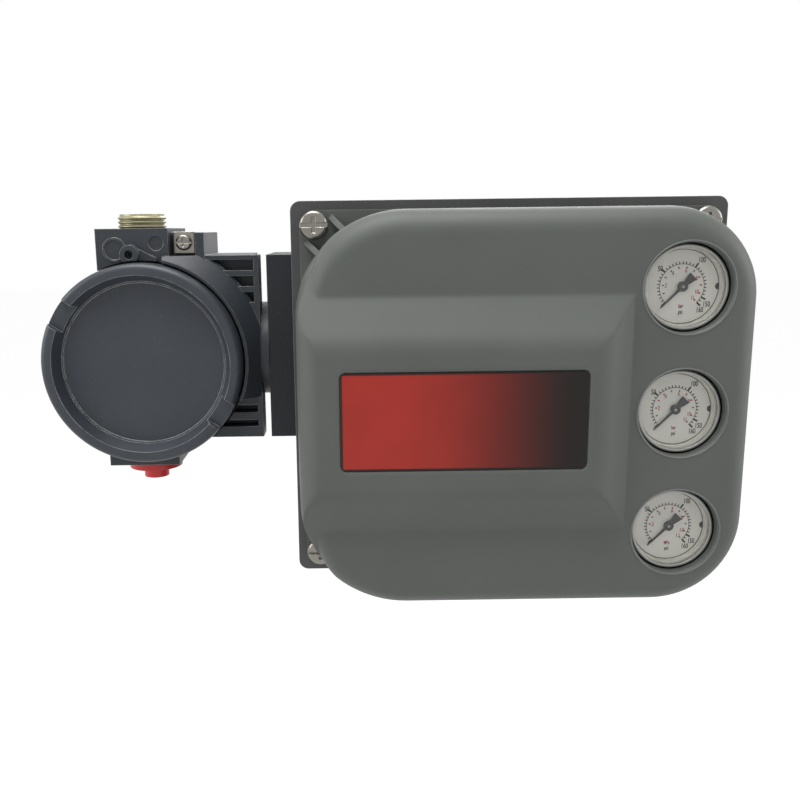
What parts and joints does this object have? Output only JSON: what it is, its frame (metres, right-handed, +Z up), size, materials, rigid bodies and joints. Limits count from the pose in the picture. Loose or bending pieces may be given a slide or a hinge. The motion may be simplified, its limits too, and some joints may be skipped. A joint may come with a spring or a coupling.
{
  "type": "valve positioner",
  "caption": "Electropneumatic valve positioner: cast housing with a slotted linkage arm, a lift-off domed cover with pressure gauges, and a screw-capped terminal box.",
  "frame": {"origin": "centre of the four bracket bolt holes, on the housing's back mounting face", "axes": "+X to the right seen from the front, +Y backwards out of the mounting face, +Z up"},
  "size_m": [0.3145, 0.1116, 0.1613],
  "materials": {
    "dark_casting": "satin dark grey paint on cast aluminium",
    "box_casting": "satin blue-grey paint on cast aluminium",
    "cover_plastic": "fine-textured moulded plastic",
    "black_plastic": "moulded",
    "lead_insulation": "smooth insulation",
    "brass": "machined",
    "steel": "stainless, machined",
    "nickel": "nickel plated",
    "gauge_steel": "polished stainless",
    "dial_face": "printed off-white face",
    "pointer_black": "black",
    "gauge_glass": "clear",
    "label": "printed film, red fading to black, bare",
    "rubber": "moulded",
    "alloy": "machined",
    "board": "solder mask",
    "zinc": "yellow zinc plated",
    "red_plastic": "moulded"
  },
  "bodies": {
    "frame": {"housing": "dark_casting", "vent": "black_plastic", "shaft_bush": "brass", "travel_sensor": "black_plastic", "sensor_screws": "nickel", "module_base": "dark_casting", "module_base_seal": "rubber", "module_screws": "nickel", "ip_converter": "alloy", "ip_screws": "nickel", "ip_shroud": "black_plastic", "pneumatic_relay": "alloy", "relay_seal": "rubber", "relay_screws": "nickel", "electronics_module": "black_plastic", "electronics_screws": "nickel", "supply_case": "gauge_steel", "supply_dial": "dial_face", "supply_window": "gauge_glass", "output_a_case": "gauge_steel", "output_a_dial": "dial_face", "output_a_window": "gauge_glass", "output_b_case": "gauge_steel", "output_b_dial": "dial_face", "output_b_window": "gauge_glass", "gauge_movements": "brass", "terminal_box": "box_casting", "neck_seal": "rubber", "terminal_box_screws": "nickel", "terminal_board": "board", "terminal_blocks": "black_plastic", "terminal_screws": "nickel", "board_screws": "nickel", "cap_lock_screw": "nickel", "earth_screw": "nickel", "earth_clamp": "nickel", "conduit_plug": "zinc", "conduit_cap": "red_plastic", "loop_leads": "lead_insulation"},
    "cover": {"cover": "cover_plastic", "cover_seal": "rubber", "cover_screws": "nickel", "label_plate": "label"},
    "linkage_arm": {"feedback_shaft": "steel", "feedback_arm": "steel", "arm_clamp_screw": "steel", "bias_spring": "steel"},
    "cap_ring": {"cap_o_ring": "rubber"},
    "cap": {"terminal_cap": "box_casting"},
    "supply_needle": {"supply_pointer": "pointer_black"},
    "output_a_needle": {"output_a_pointer": "pointer_black"},
    "output_b_needle": {"output_b_pointer": "pointer_black"}
  },
  "joints": [
    {"name": "cover_lift", "type": "slide", "parent": "frame", "child": "cover", "axis": [0, -1, 0], "range_m": [0, 0.08]},
    {"name": "arm_swing", "type": "hinge", "parent": "frame", "child": "linkage_arm", "pos_m": [0.05, -0.01, 0], "axis": [0, 1, 0], "range_deg": [-45, 45]},
    {"name": "cap_turn", "type": "hinge", "parent": "frame", "child": "cap_ring", "pos_m": [-0.1556, -0.05, 0.0128], "axis": [0, -1, 0], "range_deg": [0, 2520]},
    {"name": "cap_travel", "type": "slide", "parent": "cap_ring", "child": "cap", "axis": [0, -1, 0], "range_m": [0, 0.0141]},
    {"name": "supply_reading", "type": "hinge", "parent": "frame", "child": "supply_needle", "pos_m": [0.0612, -0.0945, 0.0454], "axis": [0, 1, 0], "range_deg": [0, 270], "stiffness_Nm_per_rad": 0.001},
    {"name": "output_a_reading", "type": "hinge", "parent": "frame", "child": "output_a_needle", "pos_m": [0.0612, -0.0945, -0.0026], "axis": [0, 1, 0], "range_deg": [0, 270], "stiffness_Nm_per_rad": 0.001},
    {"name": "output_b_reading", "type": "hinge", "parent": "frame", "child": "output_b_needle", "pos_m": [0.0612, -0.0945, -0.0506], "axis": [0, 1, 0], "range_deg": [0, 270], "stiffness_Nm_per_rad": 0.001}
  ],
  "couplings": [
    {"joint": "cap_travel", "follows": "cap_turn", "m_per_rad": 0.00031831}
  ]
}
